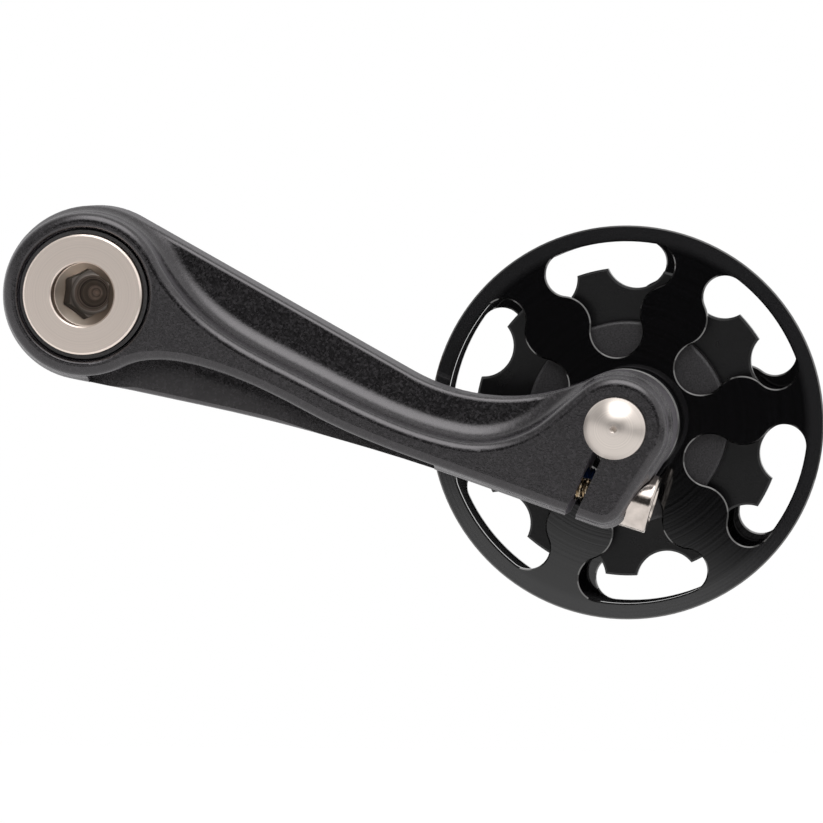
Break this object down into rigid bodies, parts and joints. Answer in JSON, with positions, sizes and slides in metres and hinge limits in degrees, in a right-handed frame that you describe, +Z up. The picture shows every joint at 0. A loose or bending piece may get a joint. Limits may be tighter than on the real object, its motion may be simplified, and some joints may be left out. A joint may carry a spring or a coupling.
{
  "type": "bicycle chain tensioner",
  "caption": "Sprung chain tensioner arm that bolts to a derailleur hanger and carries one guide pulley between two windowed discs on an axle clamped in the arm's slit end.",
  "frame": {"origin": "on the hanger bolt's axis, at the face of the stop plate that seats on the hanger", "axes": "+X forward along the bicycle, from the hanger towards the pulley's side; +Y inboard, along the hanger bolt into the hanger; +Z up"},
  "size_m": [0.112, 0.0358, 0.0573],
  "materials": {
    "arm": "bead-blasted and black anodised",
    "bolt": "turned, satin nickel plated",
    "bush": "matt moulded",
    "spring": "oil-tempered spring steel",
    "stop": "zinc plated, satin",
    "screws": "stainless, satin",
    "bearing": "ground bright",
    "bearing_plate": "pressed sheet",
    "sleeve": "turned and black anodised",
    "plate": "turned, gloss black anodised, with bright cut edges",
    "pulley": "moulded, finely grained"
  },
  "bodies": {
    "hanger_mount": {"hanger_bolt": "bolt", "stop_plate": "stop", "retaining_ring": "spring", "rear_bushing": "bush"},
    "arm": {"arm": "arm", "front_bushing": "bush", "torsion_spring": "spring", "pinch_bolt": "screws"},
    "axle": {"axle_pin": "bolt", "end_washer": "screws", "end_screw": "screws", "bearing_spacer": "sleeve", "front_bearing_inner_ring": "bearing", "rear_bearing_inner_ring": "bearing"},
    "pulley": {"pulley": "pulley", "front_guide_plate": "plate", "rear_guide_plate": "plate", "hub_sleeve": "sleeve", "lock_ring": "sleeve", "front_bearing_outer_ring": "bearing", "rear_bearing_outer_ring": "bearing", "front_bearing_shields": "bearing_plate", "rear_bearing_shields": "bearing_plate"},
    "ball_train": {"front_bearing_balls": "bearing", "front_bearing_cage": "bearing_plate", "rear_bearing_balls": "bearing", "rear_bearing_cage": "bearing_plate"}
  },
  "joints": [
    {"name": "arm_pivot", "type": "hinge", "parent": "hanger_mount", "child": "arm", "pos_m": [0, 0, 0], "axis": [0, 1, 0], "range_deg": [0, 50], "stiffness_Nm_per_rad": 1, "springref_deg": -89.95, "deforming": ["torsion_spring"]},
    {"name": "chainline_slide", "type": "slide", "parent": "arm", "child": "axle", "axis": [0, 1, 0], "range_m": [-0.0023, 0.005]},
    {"name": "pulley_spin", "type": "hinge", "parent": "axle", "child": "pulley", "pos_m": [0.07282, 0.0078, -0.01795], "axis": [0, 1, 0], "continuous": true},
    {"name": "ball_spin", "type": "hinge", "parent": "axle", "child": "ball_train", "pos_m": [0.07282, 0.0078, -0.01795], "axis": [0, 1, 0], "continuous": true}
  ],
  "couplings": [
    {"joint": "ball_spin", "follows": "pulley_spin", "ratio": 0.61111}
  ]
}
